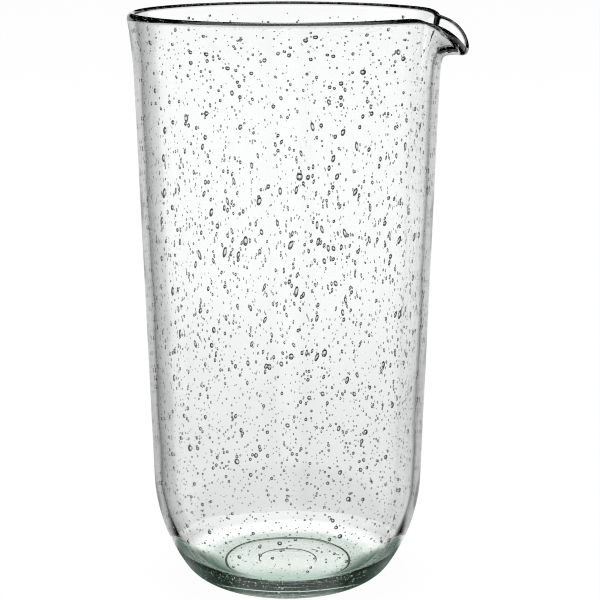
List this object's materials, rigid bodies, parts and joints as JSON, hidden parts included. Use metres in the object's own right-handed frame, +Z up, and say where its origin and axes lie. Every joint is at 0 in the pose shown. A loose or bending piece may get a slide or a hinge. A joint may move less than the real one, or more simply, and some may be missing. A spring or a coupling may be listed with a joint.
{
  "type": "cocktail pitcher",
  "caption": "Tall tapered pitcher of hand-blown bubbled glass with no handle, a thick rounded foot and a small pulled spout, for mixing and pouring drinks.",
  "frame": {"origin": "on the jug's upright axis, in the plane of the table that its foot ring stands on", "axes": "+Z up the jug's axis; -Y towards the spout, +X square to both"},
  "size_m": [0.108, 0.1157, 0.2],
  "materials": {
    "bubbled_glass": "fire-polished hand-blown soda-lime glass, pale grey-green, full of small air bubbles"
  },
  "bodies": {
    "root": {"base": "bubbled_glass", "wall_tube": "bubbled_glass", "rim": "bubbled_glass", "spout": "bubbled_glass"}
  },
  "joints": []
}
